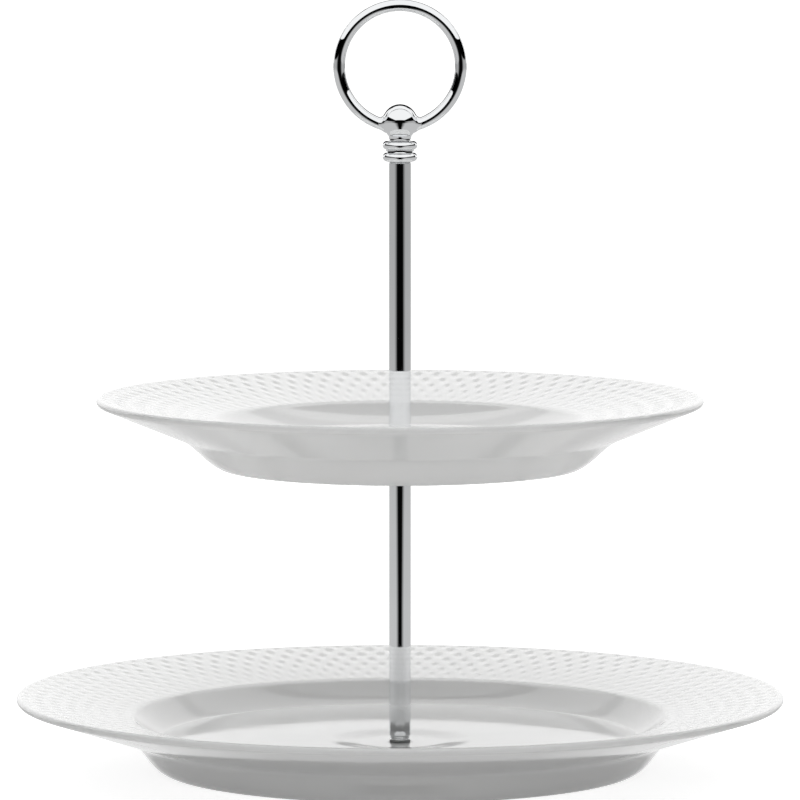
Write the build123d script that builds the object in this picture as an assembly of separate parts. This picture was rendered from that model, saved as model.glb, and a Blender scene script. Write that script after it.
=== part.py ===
from build123d import *
import math
import os
from dataclasses import dataclass

# Two-tier cake stand, in millimetres. +Z is up, the origin is the middle of the lower
# plate's foot ring, on the table, and the finger ring lies in the XZ plane.
os.makedirs("parts", exist_ok=True)

# ---- driving dimensions -------------------------------------------------------------

# screw thread shared by the base screw and both studs (M4)
THREAD_RADIUS = 2.0
THREAD_PITCH = 0.7
TAPPED_RADIUS = 2.05
UNSCREW_TURNS = 10.25
ENGAGEMENT = THREAD_PITCH * UNSCREW_TURNS
THREAD_CHAMFER = 0.4

# chromed tubes and the tapped inserts pressed into their ends
TUBE_RADIUS = 4.0
TUBE_BORE_RADIUS = 3.0
TUBE_LENGTH = 101.3
TUBE_EDGE = 0.25
INSERT_LENGTH = 10.0
COLLAR_RADIUS = 3.6
COLLAR_HEIGHT = 1.4

# washers and pads
CLEARANCE_RADIUS = 2.3
SEAT_WASHER_RADIUS = 3.8
SEAT_WASHER_HEIGHT = 0.8
HANDLE_WASHER_RADIUS = 3.85
HANDLE_WASHER_HEIGHT = 0.2
SUPPORT_RADIUS = 11.0
SUPPORT_HEIGHT = 0.8
SUPPORT_PAD_RADIUS = 10.5
SUPPORT_PAD_HEIGHT = 0.8
BASE_PAD_RADIUS = 13.0
BASE_PAD_HEIGHT = 1.0
BASE_WASHER_RADIUS = 12.0
BASE_WASHER_HEIGHT = 1.0
LOCK_WASHER_RADIUS = 3.6
LOCK_WASHER_HEIGHT = 0.6
LOCK_WASHER_SLIT = 0.7
LOCK_WASHER_SLANT = 40.0
WASHER_EDGE = 0.2
HANDLE_WASHER_EDGE = 0.05

# holes through the plates and the bushes that line them
PLATE_HOLE_RADIUS = 3.1
BUSH_BORE_RADIUS = 2.08

# base screw: pan head with a cross recess
SCREW_HEAD_RADIUS = 4.0
SCREW_HEAD_HEIGHT = 2.2
SCREW_HEAD_RIM = 0.9
SCREW_SHOULDER_RADIUS = 3.0
SCREW_SHOULDER_HEIGHT = 0.39
SCREW_FACE_RADIUS = 1.8
RECESS_LENGTH = 4.2
RECESS_WIDTH = 0.9
RECESS_DEPTH = 1.3

# studs: the length screwed into the tube below, and the slot in the upper end
STUD_GRIP = 9.0
STUD_SLOT_WIDTH = 0.7
STUD_SLOT_DEPTH = 1.0

# finger ring
RING_RADIUS = 22.05
WIRE_RADIUS = 2.1
RING_OVER_FINIAL = 34.6

# finial radii, and heights over its underside
BEAD_FOOT_RADIUS = 5.35
BEAD_RADIUS = 6.35
LOWER_BEAD_TOP = 3.25
GROOVE_RADIUS = 5.15
GROOVE_TOP = 4.3
UPPER_BEAD_TOP = 7.5
SHOULDER_RADIUS = 4.15
NECK_RADIUS = 3.8
NECK_TOP = 8.8
BALL_FOOT_RADIUS = 4.3
BALL_FOOT = 9.45
BALL_FLANK_RADIUS = 5.9
BALL_FLANK = 11.9
BALL_RADIUS = 6.3
BALL_CENTRE = 14.5
FINIAL_BORE_DEPTH = 7.7
DRILL_POINT = 1.0

# cones that draw the ball out around the wire, their middle this far round the ring from its lowest point
BOSS_ANGLE = 17.3
BOSS_BASE_RADIUS = 3.7
BOSS_TIP_RADIUS = 2.3
BOSS_LENGTH = 2.2


@dataclass
class PlateShape:
    """One porcelain plate. Radii from the axis, drops from the lip's top, heights from the foot.

    The well's slope is its rise over its run just under the crest.
    """

    height: float
    rim_radius: float
    lip_thickness: float
    crest_radius: float
    crest_drop: float
    well_slope: float
    floor_radius: float
    floor_edge_drop: float
    floor_height: float
    floor_thickness: float
    dimple_radius: float
    knee_radius: float
    knee_drop: float
    foot_radius: float
    foot_width: float


LOWER_PLATE = PlateShape(
    height=27.1,
    rim_radius=140.0,
    lip_thickness=2.6,
    crest_radius=99.0,
    crest_drop=7.5,
    well_slope=0.9,
    floor_radius=87.0,
    floor_edge_drop=15.8,
    floor_height=9.5,
    floor_thickness=4.0,
    dimple_radius=14.0,
    knee_radius=99.5,
    knee_drop=15.5,
    foot_radius=87.5,
    foot_width=3.5,
)
UPPER_PLATE = PlateShape(
    height=25.4,
    rim_radius=110.5,
    lip_thickness=2.7,
    crest_radius=69.0,
    crest_drop=8.0,
    well_slope=0.6,
    floor_radius=53.0,
    floor_edge_drop=15.2,
    floor_height=7.6,
    floor_thickness=3.6,
    dimple_radius=12.0,
    knee_radius=80.0,
    knee_drop=14.7,
    foot_radius=66.0,
    foot_width=3.0,
)
DIMPLE_STEP = 1.0
DIMPLE_SLOPE_WIDTH = 14.0

# the crest is rounded over this distance each way, and these heights below and above it
CREST_ROUND = 2.0
CREST_FALL = 1.0
CREST_RISE = 0.36

# rounded inner corner of the foot ring's recess
RECESS_ROUND_WIDTH = 3.0
RECESS_ROUND_HEIGHT = 1.0

# directions of a plate's outline where its curves start and end
FLOOR_EDGE_DIRECTION = (1, 0.24)
RIM_DIRECTION = (1, 0.18)
KNEE_DIRECTION = (-1, -0.6)
FOOT_OUTER_DIRECTION = (-1, -0.45)
FOOT_INNER_DIRECTION = (-0.4, 1)
RECESS_DIRECTION = (-1, 0.1)

# ---- heights over the table, stacked from the lower plate up --------------------------

lower_floor = LOWER_PLATE.floor_height
lower_underside = lower_floor - LOWER_PLATE.floor_thickness
base_pad_z = lower_underside - BASE_PAD_HEIGHT
base_washer_z = base_pad_z - BASE_WASHER_HEIGHT
lock_washer_z = base_washer_z - LOCK_WASHER_HEIGHT
lower_collar_z = lower_floor + SEAT_WASHER_HEIGHT
lower_tube_z = lower_collar_z + COLLAR_HEIGHT
lower_tube_top = lower_tube_z + TUBE_LENGTH
support_pad_z = lower_tube_top + SUPPORT_HEIGHT
upper_underside = support_pad_z + SUPPORT_PAD_HEIGHT
upper_floor = upper_underside + UPPER_PLATE.floor_thickness
upper_foot = upper_floor - UPPER_PLATE.floor_height
upper_collar_z = upper_floor + SEAT_WASHER_HEIGHT
upper_tube_z = upper_collar_z + COLLAR_HEIGHT
upper_tube_top = upper_tube_z + TUBE_LENGTH
finial_z = upper_tube_top + HANDLE_WASHER_HEIGHT


# ---- shared shapes --------------------------------------------------------------------


def turned(*edges):
    """Solid of revolution about Z. The edges close an outline of (radius, height) points."""
    return revolve(Plane.XZ * make_face(Curve() + list(edges)), Axis.Z)


def chain(*points):
    """Straight edges through the points, open at the end. Repeated points add no edge."""
    return [Line(a, b) for a, b in zip(points, points[1:]) if a != b]


def disc_ring(inner, outer, bottom, height, edge=WASHER_EDGE):
    """Flat ring with its outer edges chamfered."""
    top = bottom + height
    corners = [
        (inner, bottom),
        (outer - edge, bottom),
        (outer, bottom + edge),
        (outer, top - edge),
        (outer - edge, top),
        (inner, top),
    ]
    return turned(*chain(*corners, corners[0]))


def threaded_pin(bottom, top):
    """Threaded length as a plain cylinder of the thread's outer radius, chamfered at both ends."""
    corners = [
        (0, bottom),
        (THREAD_RADIUS - THREAD_CHAMFER, bottom),
        (THREAD_RADIUS, bottom + THREAD_CHAMFER),
        (THREAD_RADIUS, top - THREAD_CHAMFER),
        (THREAD_RADIUS - THREAD_CHAMFER, top),
        (0, top),
    ]
    return turned(*chain(*corners, corners[0]))


def stud(bottom, top):
    """Headless stud with a driver slot in its upper end."""
    slot = Box(3 * THREAD_RADIUS, STUD_SLOT_WIDTH, 2 * STUD_SLOT_DEPTH)
    return threaded_pin(bottom, top) - Pos(0, 0, top) * slot


# ---- porcelain ------------------------------------------------------------------------


def plate(shape, foot_z):
    """Plate with a drilled centre, a dished floor, a curved well, a sloping rim and a foot ring."""
    lip_top = foot_z + shape.height
    floor = foot_z + shape.floor_height
    underside = floor - shape.floor_thickness
    lip = shape.lip_thickness / 2
    hole_top = (PLATE_HOLE_RADIUS, floor)
    dimple_inner = (shape.dimple_radius, floor)
    dimple_outer = (shape.dimple_radius + DIMPLE_SLOPE_WIDTH, floor + DIMPLE_STEP)
    floor_edge = (shape.floor_radius, lip_top - shape.floor_edge_drop)
    crest = lip_top - shape.crest_drop
    well_top = (shape.crest_radius - CREST_ROUND, crest - CREST_FALL)
    rim_start = (shape.crest_radius + CREST_ROUND, crest + CREST_RISE)
    well_top_direction = (1, shape.well_slope)
    lip_inner = (shape.rim_radius - lip, lip_top)
    lip_edge = (shape.rim_radius, lip_top - lip)
    lip_under = (shape.rim_radius - lip, lip_top - 2 * lip)
    knee = (shape.knee_radius, lip_top - shape.knee_drop)
    foot_outer = (shape.foot_radius, foot_z)
    foot_inner = (shape.foot_radius - shape.foot_width, foot_z)
    recess_edge = (foot_inner[0] - RECESS_ROUND_WIDTH, underside + RECESS_ROUND_HEIGHT)
    hole_bottom = (PLATE_HOLE_RADIUS, underside)
    return turned(
        Line(hole_top, dimple_inner),
        Line(dimple_inner, dimple_outer),
        Line(dimple_outer, floor_edge),
        Spline(floor_edge, well_top, tangents=[FLOOR_EDGE_DIRECTION, well_top_direction]),
        Spline(well_top, rim_start, tangents=[well_top_direction, RIM_DIRECTION]),
        Line(rim_start, lip_inner),
        ThreePointArc(lip_inner, lip_edge, lip_under),
        Line(lip_under, knee),
        Spline(knee, foot_outer, tangents=[KNEE_DIRECTION, FOOT_OUTER_DIRECTION]),
        Line(foot_outer, foot_inner),
        Spline(foot_inner, recess_edge, tangents=[FOOT_INNER_DIRECTION, RECESS_DIRECTION]),
        Line(recess_edge, hole_bottom),
        Line(hole_bottom, hole_top),
    )


def plate_bush(bottom, top):
    """Nylon sleeve that keeps the screw off the porcelain."""
    return disc_ring(BUSH_BORE_RADIUS, PLATE_HOLE_RADIUS, bottom, top - bottom, edge=0)


# ---- tubes and inserts ----------------------------------------------------------------


def tube(bottom):
    """Chromed tube, its outer edges chamfered."""
    return disc_ring(TUBE_BORE_RADIUS, TUBE_RADIUS, bottom, TUBE_LENGTH, edge=TUBE_EDGE)


def top_insert(tube_bottom):
    """Tapped plug pressed flush into a tube's upper end."""
    top = tube_bottom + TUBE_LENGTH
    return disc_ring(TAPPED_RADIUS, TUBE_BORE_RADIUS, top - INSERT_LENGTH, INSERT_LENGTH, edge=0)


def bottom_insert(tube_bottom):
    """Tapped plug pressed into a tube's lower end, with a collar that stands out below it."""
    collar_bottom = tube_bottom - COLLAR_HEIGHT
    corners = [
        (TAPPED_RADIUS, collar_bottom),
        (COLLAR_RADIUS, collar_bottom),
        (COLLAR_RADIUS, tube_bottom),
        (TUBE_BORE_RADIUS, tube_bottom),
        (TUBE_BORE_RADIUS, tube_bottom + INSERT_LENGTH),
        (TAPPED_RADIUS, tube_bottom + INSERT_LENGTH),
    ]
    return turned(*chain(*corners, corners[0]))


# ---- base fastening -------------------------------------------------------------------


def lock_washer():
    """Split washer under the screw's head."""
    ring = disc_ring(CLEARANCE_RADIUS, LOCK_WASHER_RADIUS, lock_washer_z, LOCK_WASHER_HEIGHT, edge=0)
    slit = Box(2 * LOCK_WASHER_RADIUS, LOCK_WASHER_SLIT, 4 * LOCK_WASHER_HEIGHT)
    return ring - Pos(LOCK_WASHER_RADIUS, 0, lock_washer_z) * Rot(LOCK_WASHER_SLANT, 0, 0) * slit


def base_screw():
    """Pan-head screw, driven from below through the lower plate into its tube."""
    bottom = lock_washer_z - SCREW_HEAD_HEIGHT
    rim_top = (SCREW_HEAD_RADIUS, lock_washer_z)
    rim_bottom = (SCREW_HEAD_RADIUS, lock_washer_z - SCREW_HEAD_RIM)
    shoulder = (SCREW_SHOULDER_RADIUS, bottom + SCREW_SHOULDER_HEIGHT)
    face_edge = (SCREW_FACE_RADIUS, bottom)
    head = turned(
        Line((0, lock_washer_z), rim_top),
        Line(rim_top, rim_bottom),
        ThreePointArc(rim_bottom, shoulder, face_edge),
        Line(face_edge, (0, bottom)),
        Line((0, bottom), (0, lock_washer_z)),
    )
    shank = threaded_pin(lock_washer_z - THREAD_CHAMFER, lower_collar_z + ENGAGEMENT)
    for angle in (0, 90):
        head -= Pos(0, 0, bottom) * Rot(0, 0, angle) * Box(RECESS_LENGTH, RECESS_WIDTH, 2 * RECESS_DEPTH)
    return head + shank


# ---- handle ---------------------------------------------------------------------------


def ring():
    """Finger ring of round wire, upright in the XZ plane."""
    return Pos(0, 0, finial_z + RING_OVER_FINIAL) * Rot(90, 0, 0) * Torus(RING_RADIUS, WIRE_RADIUS)


def bead(bottom, top, foot_radius, next_radius):
    """Half-round bead of a turned outline, from its lower edge up to its upper edge."""
    return ThreePointArc((foot_radius, bottom), (BEAD_RADIUS, (bottom + top) / 2), (next_radius, top))


def boss(side):
    """Cone around the wire where it enters the ball, on the +X side for 1 and the -X side for -1."""
    lean = math.radians(BOSS_ANGLE)
    x = RING_RADIUS * math.sin(lean)
    z = finial_z + RING_OVER_FINIAL - RING_RADIUS * math.cos(lean)
    cone = Cone(BOSS_BASE_RADIUS, BOSS_TIP_RADIUS, BOSS_LENGTH)
    return Pos(side * x, 0, z) * Rot(0, side * (90 - BOSS_ANGLE), 0) * cone


def finial():
    """Turned finial: two beads, a neck and a ball, bored for its stud and for the ring."""
    z = finial_z
    neck = (NECK_RADIUS, z + NECK_TOP)
    ball_foot = (BALL_FOOT_RADIUS, z + BALL_FOOT)
    ball_flank = (BALL_FLANK_RADIUS, z + BALL_FLANK)
    ball_side = (BALL_RADIUS, z + BALL_CENTRE)
    ball_slope = BALL_RADIUS * math.sqrt(0.5)
    ball_shoulder = (ball_slope, z + BALL_CENTRE + ball_slope)
    ball_top = (0, z + BALL_CENTRE + BALL_RADIUS)
    bore_bottom = (TAPPED_RADIUS, z)
    bore_top = (TAPPED_RADIUS, z + FINIAL_BORE_DEPTH)
    bore_end = (0, z + FINIAL_BORE_DEPTH + DRILL_POINT)
    body = turned(
        Line(bore_bottom, (BEAD_FOOT_RADIUS, z)),
        bead(z, z + LOWER_BEAD_TOP, BEAD_FOOT_RADIUS, GROOVE_RADIUS),
        Line((GROOVE_RADIUS, z + LOWER_BEAD_TOP), (GROOVE_RADIUS, z + GROOVE_TOP)),
        bead(z + GROOVE_TOP, z + UPPER_BEAD_TOP, GROOVE_RADIUS, SHOULDER_RADIUS),
        Line((SHOULDER_RADIUS, z + UPPER_BEAD_TOP), neck),
        Spline(neck, ball_foot, ball_flank, ball_side, tangents=[(0, 1), (0, 1)]),
        Spline(ball_side, ball_shoulder, ball_top, tangents=[(0, 1), (-1, 0)]),
        Line(ball_top, bore_end),
        Line(bore_end, bore_top),
        Line(bore_top, bore_bottom),
    )
    return body + boss(1) + boss(-1) - ring()


# ---- the assembly ---------------------------------------------------------------------

pieces = {
    "lower_plate": plate(LOWER_PLATE, 0),
    "lower_plate_bush": plate_bush(lower_underside, lower_floor),
    "lower_seat_washer": disc_ring(CLEARANCE_RADIUS, SEAT_WASHER_RADIUS, lower_floor, SEAT_WASHER_HEIGHT),
    "base_pad": disc_ring(CLEARANCE_RADIUS, BASE_PAD_RADIUS, base_pad_z, BASE_PAD_HEIGHT),
    "base_washer": disc_ring(CLEARANCE_RADIUS, BASE_WASHER_RADIUS, base_washer_z, BASE_WASHER_HEIGHT),
    "lock_washer": lock_washer(),
    "base_screw": base_screw(),
    "lower_tube": tube(lower_tube_z),
    "lower_tube_bottom_insert": bottom_insert(lower_tube_z),
    "lower_tube_top_insert": top_insert(lower_tube_z),
    "tier_stud": stud(lower_tube_top - STUD_GRIP, upper_collar_z + ENGAGEMENT),
    "support_washer": disc_ring(CLEARANCE_RADIUS, SUPPORT_RADIUS, lower_tube_top, SUPPORT_HEIGHT),
    "support_pad": disc_ring(CLEARANCE_RADIUS, SUPPORT_PAD_RADIUS, support_pad_z, SUPPORT_PAD_HEIGHT),
    "upper_plate": plate(UPPER_PLATE, upper_foot),
    "upper_plate_bush": plate_bush(upper_underside, upper_floor),
    "upper_seat_washer": disc_ring(CLEARANCE_RADIUS, SEAT_WASHER_RADIUS, upper_floor, SEAT_WASHER_HEIGHT),
    "upper_tube": tube(upper_tube_z),
    "upper_tube_bottom_insert": bottom_insert(upper_tube_z),
    "upper_tube_top_insert": top_insert(upper_tube_z),
    "handle_stud": stud(upper_tube_top - STUD_GRIP, finial_z + ENGAGEMENT),
    "handle_washer": disc_ring(
        CLEARANCE_RADIUS, HANDLE_WASHER_RADIUS, upper_tube_top, HANDLE_WASHER_HEIGHT, HANDLE_WASHER_EDGE
    ),
    "finial": finial(),
    "finger_ring": ring(),
}

for name, shape in pieces.items():
    export_step(shape, f"parts/{name}.step")
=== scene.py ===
import math

import bpy
import numpy as np
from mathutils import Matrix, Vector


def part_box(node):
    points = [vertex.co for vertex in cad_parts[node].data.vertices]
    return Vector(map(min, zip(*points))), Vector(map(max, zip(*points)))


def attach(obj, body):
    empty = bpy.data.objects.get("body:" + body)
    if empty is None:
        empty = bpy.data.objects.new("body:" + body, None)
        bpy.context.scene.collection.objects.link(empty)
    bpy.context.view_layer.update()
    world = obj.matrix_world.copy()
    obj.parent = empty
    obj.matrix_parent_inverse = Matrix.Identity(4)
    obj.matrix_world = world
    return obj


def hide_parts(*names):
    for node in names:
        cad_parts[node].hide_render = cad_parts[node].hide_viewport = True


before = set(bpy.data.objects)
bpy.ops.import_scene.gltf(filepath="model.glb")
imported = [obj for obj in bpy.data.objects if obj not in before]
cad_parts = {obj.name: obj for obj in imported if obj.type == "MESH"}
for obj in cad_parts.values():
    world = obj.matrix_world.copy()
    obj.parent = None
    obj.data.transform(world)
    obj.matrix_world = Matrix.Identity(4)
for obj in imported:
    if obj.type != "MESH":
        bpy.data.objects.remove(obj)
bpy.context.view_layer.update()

# Two-tier cake stand. Outlines are (radius, height) points in millimetres, and every
# height starts from a CAD node's own box. Meshes are made in metres.
MM = 0.001
TURN = 2 * math.pi

# M4 thread, shared by the studs and the base screw
THREAD_RADIUS = 2.0
THREAD_PITCH = 0.7
THREAD_DEPTH = 0.38
THREAD_COLUMNS = 40
RINGS_PER_PITCH = 12
BORE_RADIUS = 2.05
DRIVER_SLOT = (6.0, 0.7, 2.0)

# chromed tubes and the collars of their bottom inserts
TUBE_RADIUS = 4.0
TUBE_BORE = 3.0
TUBE_EDGE = 0.25
COLLAR_RADIUS = 3.6
COLLAR_GROOVE = 0.22

# washers and pads: their bore, and the gap at each face that keeps them clear of their mates
WASHER_BORE = 2.3
HAIR = 0.005

# base screw's head and cross recess, and the lock washer with its split in degrees
HEAD_HEIGHT = 2.2
HEAD_RADIUS = 4.0
HEAD_RIM = 0.75
HEAD_EASE = 0.15
HEAD_FACE_RADIUS = 1.8
RECESS = (4.2, 0.9, 2.4)
LOCK_WASHER_RADIUS = 3.6
LOCK_WASHER_SPLIT = 11
LOCK_WASHER_LEAN = 0.25
LOCK_WASHER_COLUMNS = 72

# finger ring, and the finial with its heights measured from its underside
WIRE_RADIUS = 2.1
BALL_RADIUS = 6.3
BALL_CENTRE = 14.5
BALL_LOWEST = 10.5
BEAD_REACH = 6.35
UPPER_BEAD_CENTRE = 5.9
UPPER_BEAD = 1.6
LOWER_BEAD = 1.65
FILLET_SIZE = 2.0
FILLET_REACH = 2.2
FILLET_STEP = 0.02

# plates. Drops are measured down from the rim's top, and slopes are rise per millimetre outwards
PLATE_HOLE_RADIUS = 3.1
HOLE_EASE = 0.5
HOLE_EASE_MIDDLE = 0.15
DIMPLE_STEP = 1.0
DIMPLE_SLOPE_WIDTH = 14.0
CREST_ROUND = 2.0
KNEE_ROUND = 1.5
RIM_SLOPE = 0.18
FLOOR_EDGE_SLOPE = 0.24
FLOOR_CREASE = 0.5
WELL_FOOT_PULL = 0.5
RING_STEP = 1.05
COLUMNS_PER_CELL = 12
LIP_FADE = 1.6
CREST_FADE = 3.0
CREST_RELIEF = 0.3
LOWER_PLATE = dict(
    height=27.1, rim=140.0, lip=2.6, crest=99.0, crest_drop=7.5, well_slope=0.9, floor=87.0,
    floor_edge_drop=15.8, floor_height=9.5, floor_thickness=4.0, dimple=14.0,
    knee=99.5, knee_drop=15.5, foot=87.5, foot_width=3.5,
    cells=106, row_step=5.8, first_row_inset=2.4, relief=0.42,
)
UPPER_PLATE = dict(
    height=25.4, rim=110.5, lip=2.7, crest=69.0, crest_drop=8.0, well_slope=0.6, floor=53.0,
    floor_edge_drop=15.2, floor_height=7.6, floor_thickness=3.6, dimple=12.0,
    knee=80.0, knee_drop=14.7, foot=66.0, foot_width=3.0,
    cells=92, row_step=7.1, first_row_inset=1.6, relief=0.46,
)

# studio: what reflections see, then the light that falls on the object, then the floor and lamps
CEILING_GLOSS = 1.1
PANEL_SIDE = 2.4
PANEL_FRONT = -4.0
PANEL_BACK = 1.0
TABLE_GLOSS = 0.46
NEAR_TABLE_GLOSS = 0.62
BACKDROP_GLOSS = 1.15
HIGH_BACK_GLOSS = 0.6
FAR_TABLE_SHARE = 0.5
ROOM_GLOSS = 0.002
FRONT_LIGHT = 0.05
TOP_LIGHT = 1.2
BACK_LIGHT = 0.7
FLOOR_GREY = 0.8
FLOOR_GLOW = 0.78
FLOOR_BOUNCE = 0.02
KEY_POWER = 7.7
STRIP_POWER = 5.6
FRONT_POWER = 3.6

# camera and reflected card, in metres and degrees, and the lens in millimetres
EYE = (0, -2.674, 0.3943)
EYE_TILT = 5.54
LENS = 332.1
CARD_CENTRE = (0, 0.15, 0.3215)
CARD_SIZE = (0.2, 0.157, 1)


def low(node):
    """Height of a CAD node's lowest point, in millimetres."""
    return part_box(node)[0].z / MM


def high(node):
    """Height of a CAD node's highest point, in millimetres."""
    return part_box(node)[1].z / MM


# ---- outlines ---------------------------------------------------------------------------


def hermite(start, end, start_slope, end_slope, steps, start_pull=1.0):
    """Points after start, up to end, on a curve with given directions at its ends.

    A start_pull under 1 makes it turn away from its first direction sooner.
    """
    span = math.dist(start, end)
    a = np.array(start_slope) / math.hypot(*start_slope) * span * start_pull
    b = np.array(end_slope) / math.hypot(*end_slope) * span
    t = np.linspace(0, 1, steps + 1)[1:, None]
    return (
        (2 * t**3 - 3 * t**2 + 1) * np.array(start)
        + (t**3 - 2 * t**2 + t) * a
        + (3 * t**2 - 2 * t**3) * np.array(end)
        + (t**3 - t**2) * b
    ).tolist()


def arc(centre, radius, start, end, steps):
    """Points of a circular arc, angles in degrees from the radius axis towards +Z."""
    angles = np.radians(np.linspace(start, end, steps + 1))
    return [(centre[0] + radius * math.cos(a), centre[1] + radius * math.sin(a)) for a in angles]


def line(start, end, steps):
    """Points after start, up to end, evenly spaced."""
    t = np.linspace(0, 1, steps + 1)[1:, None]
    return ((1 - t) * np.array(start) + t * np.array(end)).tolist()


def rounded(corners, steps=5):
    """Outline through (radius, height, round) corners, each corner rounded by its third number."""
    points = []
    for i, (r, z, size) in enumerate(corners):
        here = np.array((r, z))
        if size == 0 or i in (0, len(corners) - 1):
            points.append((r, z))
            continue
        back = np.array(corners[i - 1][:2]) - here
        ahead = np.array(corners[i + 1][:2]) - here
        first = here + back / np.linalg.norm(back) * size
        last = here + ahead / np.linalg.norm(ahead) * size
        for t in np.linspace(0, 1, steps + 1):
            points.append(tuple((1 - t) ** 2 * first + 2 * t * (1 - t) * here + t**2 * last))
    return points


# ---- meshes -----------------------------------------------------------------------------


def circle_points(radius, height, columns, offset=None):
    """One ring of a turned mesh, in metres. offset(radius, angle) adds to its height."""
    angles = np.arange(columns) * TURN / columns
    heights = np.full(columns, float(height))
    if offset is not None:
        heights = heights + offset(radius, angles)
    return np.column_stack((radius * np.cos(angles), radius * np.sin(angles), heights)) * MM


def join_rings(first, a, second, b):
    """Faces between rings of a and b columns, whose vertices start at first and second.

    A pole is a ring of 1. The larger count is a multiple of the smaller.
    """
    if a == b:
        return [(first + i, second + i, second + (i + 1) % b, first + (i + 1) % a) for i in range(a)]
    if a == 1:
        return [(first, second + i, second + (i + 1) % b) for i in range(b)]
    if b == 1:
        return [(first + i, second, first + (i + 1) % a) for i in range(a)]
    faces = []
    k = max(a, b) // min(a, b)
    for i in range(min(a, b)):
        if b > a:
            fan = [second + (k * i + s) % b for s in range(k + 1)]
            faces.append([first + i] + fan + [first + (i + 1) % a])
        else:
            fan = [first + (k * i + s) % a for s in range(k, -1, -1)]
            faces.append([fan[-1], second + i, second + (i + 1) % b] + fan[:-1])
    return faces


def skin(rings, closed=False):
    """Vertices and faces of a stack of rings. closed joins the last ring to the first."""
    starts = np.concatenate(([0], np.cumsum([len(ring) for ring in rings])[:-1])).tolist()
    faces = []
    for i in range(len(rings) if closed else len(rings) - 1):
        j = (i + 1) % len(rings)
        faces += join_rings(starts[i], len(rings[i]), starts[j], len(rings[j]))
    return np.vstack(rings), faces


def new_piece(name, vertices, faces, sharp_angle=35):
    """Smooth-shaded mesh object whose edges stay sharp above an angle, in degrees."""
    mesh = bpy.data.meshes.new(name)
    mesh.from_pydata(np.asarray(vertices).tolist(), [], faces)
    mesh.validate()
    mesh.polygons.foreach_set("use_smooth", [True] * len(mesh.polygons))
    mesh.set_sharp_from_angle(angle=math.radians(sharp_angle))
    mesh.update()
    piece = bpy.data.objects.new(name, mesh)
    bpy.context.scene.collection.objects.link(piece)
    return piece


def turned(name, outline, columns=96, closed=True, sharp_angle=35):
    """Turned piece. The outline runs out over the top and back underneath; closed joins its ends."""
    rings = [circle_points(r, z, columns if r else 1) for r, z in outline]
    return new_piece(name, *skin(rings, closed), sharp_angle)


def place(piece, node, slot, body, *materials):
    """Stands a piece in for its CAD node: what it replaces, rides on and is finished in."""
    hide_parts(node)
    for material in materials:
        piece.data.materials.append(material)
    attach(piece, body)
    return piece


# ---- plates -----------------------------------------------------------------------------


def lattice(shape):
    """Height of the rim's relief: two crossing sets of spiral ridges with a hollow in each diamond."""
    outer = shape["rim"] - shape["first_row_inset"]

    def height(radius, angles):
        around = shape["cells"] * angles / TURN
        inwards = (outer - radius) / (2 * shape["row_step"])
        left = 0.5 - 0.5 * np.cos(TURN * (around + inwards))
        right = 0.5 - 0.5 * np.cos(TURN * (around - inwards))
        at_lip = np.clip((shape["rim"] - shape["lip"] / 2 - radius) / LIP_FADE, 0, 1)
        at_crest = np.clip((radius - shape["crest"] + CREST_ROUND) / CREST_FADE, 0, 1)
        share = (radius - shape["crest"]) / (shape["rim"] - shape["crest"])
        depth = shape["relief"] * (CREST_RELIEF + (1 - CREST_RELIEF) * share)
        return -depth * at_lip * at_crest * left * right

    return height


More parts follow.
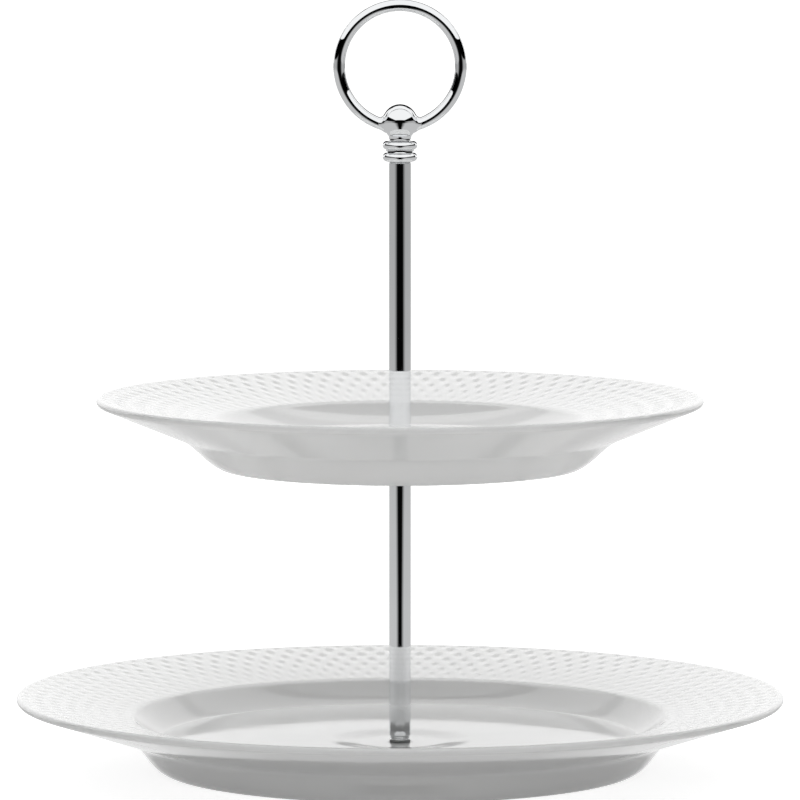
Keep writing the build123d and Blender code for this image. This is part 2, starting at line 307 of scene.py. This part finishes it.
def plate(node, shape):
    """Porcelain plate with its relief in the mesh, glazed all over but for the foot ring's bottom."""
    foot_z = low(node)
    top = foot_z + shape["height"]
    floor_z = foot_z + shape["floor_height"]
    under_z = floor_z - shape["floor_thickness"]
    lip = shape["lip"] / 2
    fine = shape["cells"] * COLUMNS_PER_CELL
    coarse = fine // 4
    hole = PLATE_HOLE_RADIUS
    dimple_edge = (shape["dimple"] + DIMPLE_SLOPE_WIDTH, floor_z + DIMPLE_STEP)
    floor_edge = (shape["floor"], top - shape["floor_edge_drop"])
    well_top = (shape["crest"] - CREST_ROUND, top - shape["crest_drop"] - 0.5 * CREST_ROUND)
    rim_start = (shape["crest"] + CREST_ROUND, top - shape["crest_drop"] + RIM_SLOPE * CREST_ROUND)
    rim_end = (shape["rim"] - lip, top)
    knee = (shape["knee"], top - shape["knee_drop"])
    underside_angle = math.degrees(math.atan2(top - 2 * lip - knee[1], rim_end[0] - knee[0]))
    well_slope = (1, shape["well_slope"])
    foot_out = (shape["foot"], foot_z)
    foot_in = (shape["foot"] - shape["foot_width"], foot_z)
    recess = (foot_in[0] - 3.0, under_z + 1.0)

    inside = [
        (hole, floor_z - HOLE_EASE), (hole + HOLE_EASE_MIDDLE, floor_z - HOLE_EASE_MIDDLE),
        (hole + HOLE_EASE, floor_z),
    ]
    inside += line(inside[-1], (shape["dimple"], floor_z), 6)
    inside += hermite(inside[-1], dimple_edge, (1, 0), (1, 0.01), 12)
    inside += line(dimple_edge, (floor_edge[0] - FLOOR_CREASE, floor_edge[1] - 0.01), 10)
    inside += [floor_edge]
    inside += hermite(floor_edge, well_top, (1, FLOOR_EDGE_SLOPE), well_slope, 16, WELL_FOOT_PULL)
    rim = hermite(well_top, rim_start, well_slope, (1, RIM_SLOPE), 8)
    rim += line(rim_start, rim_end, int((rim_end[0] - rim_start[0]) / RING_STEP))
    rim += arc((rim_end[0], top - lip), lip, 90, underside_angle - 90, 8)[1:]
    outside = line(rim[-1], (knee[0] + KNEE_ROUND, knee[1] + 0.55), 10)
    outside += hermite(outside[-1], (knee[0] - KNEE_ROUND, knee[1] - 0.9), (-1, -0.38), (-1, -0.65), 5)
    outside += hermite(outside[-1], foot_out, (-1, -0.65), (-1, -0.45), 16)
    outside += [foot_in]
    outside += hermite(foot_in, recess, (-0.4, 1), (-1, 0.1), 8)
    outside += line(recess, (hole + HOLE_EASE, under_z), 8)
    outside += [(hole + HOLE_EASE_MIDDLE, under_z + HOLE_EASE_MIDDLE), (hole, under_z + HOLE_EASE)]

    relief = lattice(shape)
    rings = [circle_points(r, z, coarse) for r, z in inside]
    rings += [circle_points(r, z, fine, relief) for r, z in rim]
    rings += [circle_points(r, z, coarse) for r, z in outside]
    piece = new_piece(node + "_porcelain", *skin(rings, closed=True), sharp_angle=50)
    for polygon in piece.data.polygons:
        if polygon.center.z / MM < foot_z + 0.01:
            polygon.material_index = 1
    return piece


# ---- threads ----------------------------------------------------------------------------


def threaded_rings(bottom, top):
    """Rings of a right-hand thread between two heights, with chamfered ends, from the top down."""
    rings = []
    steps = int((top - bottom) / THREAD_PITCH * RINGS_PER_PITCH)
    angles = np.arange(THREAD_COLUMNS) * TURN / THREAD_COLUMNS
    for height in np.linspace(top, bottom, steps + 1):
        phase = (height / THREAD_PITCH - angles / TURN) % 1.0
        crest = np.clip(1.35 * (1 - np.abs(2 * phase - 1)) - 0.1, 0, 1)
        root = THREAD_RADIUS - THREAD_DEPTH
        limit = root + 0.05 + min(height - bottom, top - height)
        reach = np.minimum(root + THREAD_DEPTH * crest, limit)
        heights = np.full(THREAD_COLUMNS, height)
        rings.append(np.column_stack((reach * np.cos(angles), reach * np.sin(angles), heights)) * MM)
    return rings


def capped(rings, top, bottom):
    """Rings listed from the top down, with a pole on the axis at each end."""
    return [circle_points(0, top, 1)] + rings + [circle_points(0, bottom, 1)]


def cut_boxes(piece, boxes):
    """Cuts boxes, given as (centre, size, turn about Z in degrees) in millimetres, out of a piece."""
    for centre, size, turn in boxes:
        bpy.ops.mesh.primitive_cube_add(size=1, location=[c * MM for c in centre])
        cutter = bpy.context.object
        cutter.scale = [s * MM for s in size]
        cutter.rotation_euler.z = math.radians(turn)
        bpy.context.view_layer.update()
        modifier = piece.modifiers.new("cut", "BOOLEAN")
        modifier.operation = "DIFFERENCE"
        modifier.solver = "EXACT"
        modifier.object = cutter
        bpy.context.view_layer.objects.active = piece
        bpy.ops.object.modifier_apply(modifier=modifier.name)
        bpy.data.objects.remove(cutter)
    piece.data.set_sharp_from_angle(angle=math.radians(35))


def stud(node):
    """Headless M4 stud with a helical thread and a driver slot in its upper end."""
    bottom, top = low(node), high(node)
    rings = capped(threaded_rings(bottom, top), top, bottom)
    piece = new_piece(node + "_threaded", *skin(rings), sharp_angle=60)
    cut_boxes(piece, [((0, 0, top), DRIVER_SLOT, 0)])
    return piece


# ---- materials --------------------------------------------------------------------------


def material(name, color, roughness, metallic=0.0, ior=1.5):
    """Principled material with its node tree, ready for detail."""
    made = bpy.data.materials.new(name)
    made.use_nodes = True
    shader = made.node_tree.nodes["Principled BSDF"]
    shader.inputs["Base Color"].default_value = (*color, 1)
    shader.inputs["Roughness"].default_value = roughness
    shader.inputs["Metallic"].default_value = metallic
    shader.inputs["IOR"].default_value = ior
    return made, made.node_tree, shader


def noise(tree, scale, detail=3.0, stretch=(1, 1, 1)):
    """Noise in the piece's own coordinates, scale in cycles per metre. Returns its value socket."""
    coordinates = tree.nodes.new("ShaderNodeTexCoord")
    mapping = tree.nodes.new("ShaderNodeMapping")
    mapping.inputs["Scale"].default_value = stretch
    texture = tree.nodes.new("ShaderNodeTexNoise")
    texture.inputs["Scale"].default_value = scale
    texture.inputs["Detail"].default_value = detail
    tree.links.new(coordinates.outputs["Object"], mapping.inputs["Vector"])
    tree.links.new(mapping.outputs["Vector"], texture.inputs["Vector"])
    return texture.outputs["Fac"]


def spread(tree, value, low_end, high_end):
    """Maps a 0..1 socket onto a range of numbers."""
    node = tree.nodes.new("ShaderNodeMapRange")
    node.inputs["From Min"].default_value = 0.3
    node.inputs["From Max"].default_value = 0.7
    node.inputs["To Min"].default_value = low_end
    node.inputs["To Max"].default_value = high_end
    tree.links.new(value, node.inputs["Value"])
    return node.outputs["Result"]


def tint(tree, value, dark, light):
    """Maps a 0..1 socket onto a range of colours."""
    ramp = tree.nodes.new("ShaderNodeValToRGB")
    ramp.color_ramp.elements[0].position = 0.3
    ramp.color_ramp.elements[0].color = (*dark, 1)
    ramp.color_ramp.elements[1].position = 0.7
    ramp.color_ramp.elements[1].color = (*light, 1)
    tree.links.new(value, ramp.inputs["Fac"])
    return ramp.outputs["Color"]


def bump(tree, shader, value, strength, distance, under=None):
    """Bumps a shader by a socket. Returns the bump's normal, which another bump may build on."""
    node = tree.nodes.new("ShaderNodeBump")
    node.inputs["Strength"].default_value = strength
    node.inputs["Distance"].default_value = distance
    tree.links.new(value, node.inputs["Height"])
    if under is not None:
        tree.links.new(under, node.inputs["Normal"])
    tree.links.new(node.outputs["Normal"], shader.inputs["Normal"])
    return node.outputs["Normal"]


def glazed_porcelain():
    """White glaze: near-mirror gloss with a slow waviness, faint colour drift and a few pinholes."""
    made, tree, shader = material("glazed_porcelain", (0.84, 0.845, 0.84), 0.06, ior=1.52)
    color = tint(tree, noise(tree, 18), (0.835, 0.84, 0.835), (0.86, 0.86, 0.855))
    tree.links.new(color, shader.inputs["Base Color"])
    tree.links.new(spread(tree, noise(tree, 60), 0.04, 0.09), shader.inputs["Roughness"])
    waves = bump(tree, shader, noise(tree, 45, 1.0), 0.12, 0.0006)
    bump(tree, shader, noise(tree, 900, 2.0), 0.05, 0.00004, waves)
    shader.inputs["Subsurface Weight"].default_value = 0.08
    shader.inputs["Subsurface Radius"].default_value = (0.003, 0.003, 0.0028)
    shader.inputs["Subsurface Scale"].default_value = 1.0
    shader.inputs["Coat Weight"].default_value = 0.3
    shader.inputs["Coat Roughness"].default_value = 0.03
    return made


def bare_porcelain():
    """Unglazed, ground porcelain of the foot ring."""
    made, tree, shader = material("bare_porcelain", (0.74, 0.72, 0.69), 0.75)
    color = tint(tree, noise(tree, 700), (0.66, 0.64, 0.6), (0.78, 0.765, 0.74))
    tree.links.new(color, shader.inputs["Base Color"])
    bump(tree, shader, noise(tree, 2500, 4.0), 0.5, 0.00008)
    return made


def chrome(name, stretch):
    """Polished chrome with hairlines drawn along one direction and faint smudges."""
    made, tree, shader = material(name, (0.80, 0.81, 0.82), 0.03, metallic=1.0)
    color = tint(tree, noise(tree, 40), (0.78, 0.79, 0.80), (0.83, 0.84, 0.85))
    tree.links.new(color, shader.inputs["Base Color"])
    tree.links.new(spread(tree, noise(tree, 90, 5.0), 0.015, 0.04), shader.inputs["Roughness"])
    bump(tree, shader, noise(tree, 1800, 2.0, stretch), 0.06, 0.00001)
    return made


def zinc_steel():
    """Bright zinc plate: satin metal with a mottled bloom."""
    made, tree, shader = material("zinc_steel", (0.6, 0.61, 0.62), 0.3, metallic=1.0)
    color = tint(tree, noise(tree, 500, 4.0), (0.52, 0.53, 0.55), (0.66, 0.66, 0.65))
    tree.links.new(color, shader.inputs["Base Color"])
    tree.links.new(spread(tree, noise(tree, 900, 4.0), 0.22, 0.4), shader.inputs["Roughness"])
    bump(tree, shader, noise(tree, 4000, 2.0), 0.2, 0.00001)
    return made


def nylon(name, color, transmission):
    """Slightly translucent moulded nylon."""
    made, tree, shader = material(name, color, 0.4)
    shade = tuple(0.9 * c for c in color)
    tree.links.new(tint(tree, noise(tree, 600), shade, color), shader.inputs["Base Color"])
    tree.links.new(spread(tree, noise(tree, 1500), 0.32, 0.5), shader.inputs["Roughness"])
    bump(tree, shader, noise(tree, 3000, 2.0), 0.2, 0.00001)
    shader.inputs["Transmission Weight"].default_value = transmission
    return made


def black_rubber():
    """Soft black rubber with a dusty, finely pitted skin."""
    made, tree, shader = material("black_rubber", (0.03, 0.03, 0.032), 0.7)
    color = tint(tree, noise(tree, 400, 4.0), (0.022, 0.022, 0.024), (0.05, 0.05, 0.052))
    tree.links.new(color, shader.inputs["Base Color"])
    tree.links.new(spread(tree, noise(tree, 1200), 0.6, 0.85), shader.inputs["Roughness"])
    bump(tree, shader, noise(tree, 5000, 3.0), 0.4, 0.00003)
    return made


# ---- chromed pieces ---------------------------------------------------------------------


def tube(node):
    """Drawn tube with burnished outer edges."""
    bottom, top = low(node), high(node)
    outline = rounded([
        (TUBE_BORE, top, 0), (TUBE_RADIUS - TUBE_EDGE, top, 0.08),
        (TUBE_RADIUS, top - TUBE_EDGE, 0.15), (TUBE_RADIUS, top - 0.8, 0), (TUBE_RADIUS, top - 1.2, 0),
        (TUBE_RADIUS, bottom + 1.2, 0), (TUBE_RADIUS, bottom + 0.8, 0),
        (TUBE_RADIUS, bottom + TUBE_EDGE, 0.15), (TUBE_RADIUS - TUBE_EDGE, bottom, 0.08),
        (TUBE_BORE, bottom, 0),
    ])
    return turned(node + "_drawn", outline, 128)


def collar(node, tube_node):
    """Tapped insert: plain plug inside the tube, then a collar with eased edges and a turned groove."""
    bottom, top = low(node), high(node)
    step = low(tube_node)
    groove = COLLAR_RADIUS - COLLAR_GROOVE
    outline = rounded([
        (BORE_RADIUS, top, 0), (TUBE_BORE, top, 0), (TUBE_BORE, step, 0), (COLLAR_RADIUS, step, 0.08),
        (COLLAR_RADIUS, bottom + 0.75, 0.05), (groove, bottom + 0.65, 0.05),
        (groove, bottom + 0.45, 0.05), (COLLAR_RADIUS, bottom + 0.35, 0.05),
        (COLLAR_RADIUS, bottom, 0.12), (BORE_RADIUS, bottom, 0),
    ], steps=3)
    return turned(node + "_turned", outline)


def soft_ring(node, edge):
    """Washer or pad as wide as its CAD node, with its outer edges rounded."""
    bottom, top = low(node) + HAIR, high(node) - HAIR
    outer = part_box(node)[1].x / MM
    outline = rounded([
        (WASHER_BORE, top, 0), (outer, top, edge), (outer, bottom, edge), (WASHER_BORE, bottom, 0),
    ])
    return turned(node + "_ring", outline)


def finial(node, ring_node):
    """Turned finial: two beads, a groove, a neck and a ball, drawn out in fillets around the ring."""
    z = low(node)
    ball_z = z + BALL_CENTRE
    outline = [(0, ball_z + BALL_RADIUS)]
    outline += arc((0, ball_z), BALL_RADIUS, 88, -8, 64)
    outline += hermite(outline[-1], (4.3, z + 9.4), (-0.1, -1), (-1, -1.15), 22)
    outline += hermite(outline[-1], (4.15, z + 7.95), (-0.5, -1), (0.35, -1), 10)
    outline += [(3.75, z + 7.85), (3.75, z + 7.55)]
    outline += arc((BEAD_REACH - UPPER_BEAD, z + UPPER_BEAD_CENTRE), UPPER_BEAD, 100, -72, 28)
    outline += [(5.1, z + 4.3), (5.1, z + 3.3)]
    outline += arc((BEAD_REACH - LOWER_BEAD, z + LOWER_BEAD), LOWER_BEAD, 75, -75, 28)
    outline += [(4.6, z), (BORE_RADIUS, z), (BORE_RADIUS, z + 7.7), (0, z + 8.7)]
    piece = turned(node + "_turned", outline, 192, closed=False, sharp_angle=40)

    # each point of the ball moves outwards to the surface that blends the ball with the wire
    ring_low, ring_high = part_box(ring_node)
    ring_z = (ring_low.z + ring_high.z) / 2 / MM
    bend = (ring_high.x - ring_low.x) / 2 / MM - WIRE_RADIUS
    points = np.empty(len(piece.data.vertices) * 3)
    piece.data.vertices.foreach_get("co", points)
    points = points.reshape(-1, 3) / MM
    outward = points - (0, 0, ball_z)
    distance = np.linalg.norm(outward, axis=1)
    on_ball = (np.abs(distance - BALL_RADIUS) < 0.6) & (points[:, 2] > z + BALL_LOWEST)
    outward /= distance[:, None]
    moved = np.zeros(len(points))
    settled = ~on_ball
    for step in np.arange(0, FILLET_REACH, FILLET_STEP):
        at = points + outward * step
        wire = np.hypot(np.hypot(at[:, 0], at[:, 2] - ring_z) - bend, at[:, 1]) - WIRE_RADIUS
        gap = np.maximum(FILLET_SIZE - np.abs(step - wire), 0) / FILLET_SIZE
        joined = np.minimum(step, wire) - gap**2 * FILLET_SIZE / 4
        moved = np.where(settled, moved, step)
        settled |= joined >= 0
    points += outward * moved[:, None]
    piece.data.vertices.foreach_set("co", (points * MM).ravel())
    piece.data.update()
    return piece


def wire_ring(node):
    """Finger ring: round wire bent to a full circle in the XZ plane."""
    lowest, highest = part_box(node)
    centre_z = (lowest.z + highest.z) / 2
    radius = (highest.x - lowest.x) / 2 - WIRE_RADIUS * MM
    bpy.ops.mesh.primitive_torus_add(
        major_segments=224, minor_segments=64, major_radius=radius, minor_radius=WIRE_RADIUS * MM,
        location=(0, 0, centre_z), rotation=(math.pi / 2, 0, 0),
    )
    piece = bpy.context.object
    piece.name = piece.data.name = node + "_bent"
    bpy.ops.object.transform_apply(location=True, rotation=True, scale=True)
    piece.data.polygons.foreach_set("use_smooth", [True] * len(piece.data.polygons))
    return piece


# ---- base fastening ---------------------------------------------------------------------


def base_screw(node):
    """Pan-head M4 screw with a helical thread and a cross recess."""
    bottom, top = low(node), high(node)
    seat = bottom + HEAD_HEIGHT
    head = [
        (THREAD_RADIUS + 0.2, seat), (HEAD_RADIUS - HEAD_EASE, seat),
        (HEAD_RADIUS, seat - HEAD_EASE), (HEAD_RADIUS, seat - HEAD_RIM),
    ]
    head += hermite(head[-1], (HEAD_FACE_RADIUS, bottom), (0, -1), (-1, -0.05), 12)
    rings = threaded_rings(seat, top) + [circle_points(r, z, THREAD_COLUMNS) for r, z in head]
    piece = new_piece(node + "_threaded", *skin(capped(rings, top, bottom)), sharp_angle=50)
    cut_boxes(piece, [((0, 0, bottom), RECESS, angle) for angle in (0, 90)])
    return piece


def lock_washer(node):
    """Split spring washer: a square-section ring whose two ends stand a little apart."""
    bottom, top = low(node), high(node)
    gap = math.radians(LOCK_WASHER_SPLIT)
    inner, outer = WASHER_BORE, LOCK_WASHER_RADIUS
    section = [(inner, bottom), (outer, bottom), (outer, top), (inner, top)]
    vertices, faces = [], []
    for i in range(LOCK_WASHER_COLUMNS + 1):
        for r, z in section:
            angle = gap / 2 + (TURN - gap) * i / LOCK_WASHER_COLUMNS + LOCK_WASHER_LEAN * (z - bottom) / r
            vertices.append((r * math.cos(angle) * MM, r * math.sin(angle) * MM, z * MM))
    for i in range(LOCK_WASHER_COLUMNS):
        a, b = 4 * i, 4 * (i + 1)
        faces += [(a + k, b + k, b + (k + 1) % 4, a + (k + 1) % 4) for k in range(4)]
    faces += [(0, 1, 2, 3), tuple(4 * LOCK_WASHER_COLUMNS + k for k in (3, 2, 1, 0))]
    return new_piece(node + "_split", vertices, faces)


# ---- stage ------------------------------------------------------------------------------


class Graph:
    """Shorthand for sums on sockets and numbers in a node tree."""

    def __init__(self, tree):
        self.tree = tree

    def put(self, kind, *values, **settings):
        node = self.tree.nodes.new(kind)
        for key, value in settings.items():
            setattr(node, key, value)
        for socket, value in zip(node.inputs, values):
            if isinstance(value, (int, float)):
                socket.default_value = value
            else:
                self.tree.links.new(value, socket)
        return node.outputs[0]

    def add(self, a, b):
        return self.put("ShaderNodeMath", a, b, operation="ADD")

    def subtract(self, a, b):
        return self.put("ShaderNodeMath", a, b, operation="SUBTRACT")

    def multiply(self, a, b):
        return self.put("ShaderNodeMath", a, b, operation="MULTIPLY")

    def greatest(self, a, b):
        return self.put("ShaderNodeMath", a, b, operation="MAXIMUM")

    def rise(self, value, start, end):
        """0 before start, 1 after end, straight between."""
        return self.put("ShaderNodeMapRange", value, start, end)

    def blend(self, share, a, b):
        """a where share is 0, b where it is 1."""
        return self.add(self.multiply(a, self.subtract(1.0, share)), self.multiply(b, share))


def studio():
    """World light, one for lighting the object and one for its reflections.

    Reflections see a grey table, a white wall behind, a panel overhead and a dark room in front.
    """
    world = bpy.data.worlds.new("studio")
    bpy.context.scene.world = world
    world.use_nodes = True
    tree = world.node_tree
    g = Graph(tree)
    background = tree.nodes["Background"]
    direction = tree.nodes.new("ShaderNodeTexCoord")
    split = tree.nodes.new("ShaderNodeSeparateXYZ")
    tree.links.new(direction.outputs["Generated"], split.inputs[0])
    x, y, z = split.outputs
    aside = g.put("ShaderNodeMath", x, operation="ABSOLUTE")

    # where a ray would cross a ceiling one unit up
    up = g.greatest(z, 0.01)
    across = g.put("ShaderNodeMath", aside, up, operation="DIVIDE")
    back = g.put("ShaderNodeMath", y, up, operation="DIVIDE")
    panel = g.multiply(
        g.rise(across, PANEL_SIDE + 0.1, PANEL_SIDE), g.rise(back, PANEL_FRONT - 0.4, PANEL_FRONT)
    )
    panel = g.multiply(panel, g.rise(back, PANEL_BACK + 0.1, PANEL_BACK))

    # the dark room's outline narrows below the horizon
    near_horizon = g.rise(z, -0.125, -0.092)
    further_down = g.rise(z, -0.6, -0.12)
    inner = g.add(0.1, g.add(g.multiply(further_down, 0.14), g.multiply(near_horizon, 0.26)))
    outer = g.add(0.3, g.add(g.multiply(further_down, 0.37), g.multiply(near_horizon, 0.2)))
    front = g.multiply(g.rise(aside, outer, inner), g.rise(y, 0.0, -0.1))

    behind = g.rise(y, 0.54, 0.6)
    far_table = g.multiply(g.rise(y, 0.9, 0.95), FAR_TABLE_SHARE)
    table = g.blend(g.rise(z, -0.07, -0.125), TABLE_GLOSS, NEAR_TABLE_GLOSS)
    wall = g.multiply(behind, g.blend(g.rise(z, 0.53, 0.56), BACKDROP_GLOSS, HIGH_BACK_GLOSS))
    above_horizon = g.blend(behind, g.rise(z, 0.04, 0.07), g.greatest(far_table, g.rise(z, -0.03, -0.01)))
    level = g.blend(above_horizon, g.blend(front, table, ROOM_GLOSS), wall)
    mirrored = g.blend(panel, level, CEILING_GLOSS)

    overhead = g.rise(z, 0.8, 0.95)
    level_light = g.blend(g.rise(y, -0.4, 0.9), FRONT_LIGHT, BACK_LIGHT)
    soft = g.blend(overhead, level_light, TOP_LIGHT)

    ray = tree.nodes.new("ShaderNodeLightPath")
    strength = g.blend(ray.outputs["Is Glossy Ray"], soft, mirrored)
    strength = g.blend(ray.outputs["Is Camera Ray"], strength, 1.0)
    tree.links.new(strength, background.inputs["Strength"])
    background.inputs["Color"].default_value = (1, 1, 1, 1)


def floor():
    """Large pale floor under the foot ring. Shiny pieces mirror the studio in its place."""
    bpy.ops.mesh.primitive_circle_add(vertices=96, radius=40, fill_type="NGON")
    ground = bpy.context.object
    ground.name = "floor"
    made, tree, shader = material("pale_floor", (FLOOR_GREY, FLOOR_GREY, FLOOR_GREY), 0.7)
    shader.inputs["Specular IOR Level"].default_value = 0.0
    ray = tree.nodes.new("ShaderNodeLightPath")
    g = Graph(tree)
    glow = g.blend(ray.outputs["Is Camera Ray"], FLOOR_BOUNCE, FLOOR_GLOW)
    tree.links.new(glow, shader.inputs["Emission Strength"])
    shader.inputs["Emission Color"].default_value = (1, 1, 1, 1)
    ground.data.materials.append(made)
    ground.visible_glossy = False


def flag():
    """Black card behind the ring, seen only in reflections. It darkens the ring's and ball's outlines."""
    bpy.ops.mesh.primitive_plane_add(size=1, location=CARD_CENTRE, rotation=(math.pi / 2, 0, 0))
    card = bpy.context.object
    card.name = "flag"
    card.scale = CARD_SIZE
    made, tree, shader = material("flag_black", (0.002, 0.002, 0.002), 1.0)
    shader.inputs["Specular IOR Level"].default_value = 0.0
    card.data.materials.append(made)
    card.visible_camera = card.visible_shadow = False
    card.visible_diffuse = card.visible_transmission = False


def lamp(name, place_at, tilt, size, power):
    """Rectangular lamp hidden from the camera and reflections, tilted about X from straight down."""
    data = bpy.data.lights.new(name, "AREA")
    data.shape = "RECTANGLE"
    data.size, data.size_y = size
    data.energy = power
    light = bpy.data.objects.new(name, data)
    light.location = place_at
    light.rotation_euler.x = math.radians(tilt)
    light.visible_camera = light.visible_glossy = False
    bpy.context.scene.collection.objects.link(light)


def camera():
    """Long lens, a little above the upper plate, looking slightly down."""
    data = bpy.data.cameras.new("camera")
    data.sensor_width = 36
    data.lens = LENS
    data.clip_end = 200
    eye = bpy.data.objects.new("camera", data)
    eye.location = EYE
    eye.rotation_euler = (math.radians(90 - EYE_TILT), 0, 0)
    bpy.context.scene.collection.objects.link(eye)
    bpy.context.scene.camera = eye


# ---- the object -------------------------------------------------------------------------

camera()
studio()
lamp("softbox", (0, 0.8, 1.2), -33, (1.0, 0.8), KEY_POWER)
lamp("front_softbox", (0, -0.9, 1.6), 31, (1.2, 0.8), FRONT_POWER)
lamp("low_strip", (0, -1.5, 0.05), 90, (2.0, 0.08), STRIP_POWER)
floor()
flag()
bpy.context.scene.view_settings.view_transform = "Standard"

glaze = glazed_porcelain()
foot_bare = bare_porcelain()
chrome_drawn = chrome("chrome_drawn", (1, 1, 0.02))
chrome_turned = chrome("chrome_turned", (0.3, 0.3, 1))
zinc = zinc_steel()
natural_nylon = nylon("natural_nylon", (0.85, 0.84, 0.79), 0.1)
grey_nylon = nylon("grey_nylon", (0.42, 0.43, 0.43), 0.15)
rubber = black_rubber()

place(plate("lower_plate", LOWER_PLATE), "lower_plate", "porcelain", "lower_tier", glaze, foot_bare)
place(plate("upper_plate", UPPER_PLATE), "upper_plate", "porcelain", "upper_tier", glaze, foot_bare)
place(tube("lower_tube"), "lower_tube", "chrome", "stem", chrome_drawn)
place(tube("upper_tube"), "upper_tube", "chrome", "upper_stem", chrome_drawn)
place(finial("finial", "finger_ring"), "finial", "chrome", "handle", chrome_turned)
place(wire_ring("finger_ring"), "finger_ring", "chrome", "handle", chrome_turned)
for tube_node, body in (("lower_tube", "stem"), ("upper_tube", "upper_stem")):
    insert = tube_node + "_bottom_insert"
    place(collar(insert, tube_node), insert, "zinc_steel", body, chrome_turned)
place(stud("tier_stud"), "tier_stud", "zinc_steel", "stem", zinc)
place(stud("handle_stud"), "handle_stud", "zinc_steel", "upper_stem", zinc)
place(base_screw("base_screw"), "base_screw", "zinc_steel", "stem", zinc)
place(lock_washer("lock_washer"), "lock_washer", "zinc_steel", "stem", zinc)
for node, edge, slot, body, finish in (
    ("base_washer", 0.3, "zinc_steel", "stem", zinc),
    ("support_washer", 0.25, "zinc_steel", "stem", zinc),
    ("base_pad", 0.4, "rubber", "lower_tier", rubber),
    ("support_pad", 0.35, "rubber", "upper_tier", rubber),
    ("lower_seat_washer", 0.25, "clear_washer", "lower_tier", grey_nylon),
    ("upper_seat_washer", 0.25, "clear_washer", "upper_seat", grey_nylon),
    ("handle_washer", 0.05, "clear_washer", "handle_seat", grey_nylon),
):
    place(soft_ring(node, edge), node, slot, body, finish)

# hidden inserts and bushes keep their CAD shape and get their finish
for node, finish in (
    ("lower_tube_top_insert", zinc), ("upper_tube_top_insert", zinc),
    ("lower_plate_bush", natural_nylon), ("upper_plate_bush", natural_nylon),
):
    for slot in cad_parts[node].material_slots:
        slot.link = "OBJECT"
        slot.material = finish
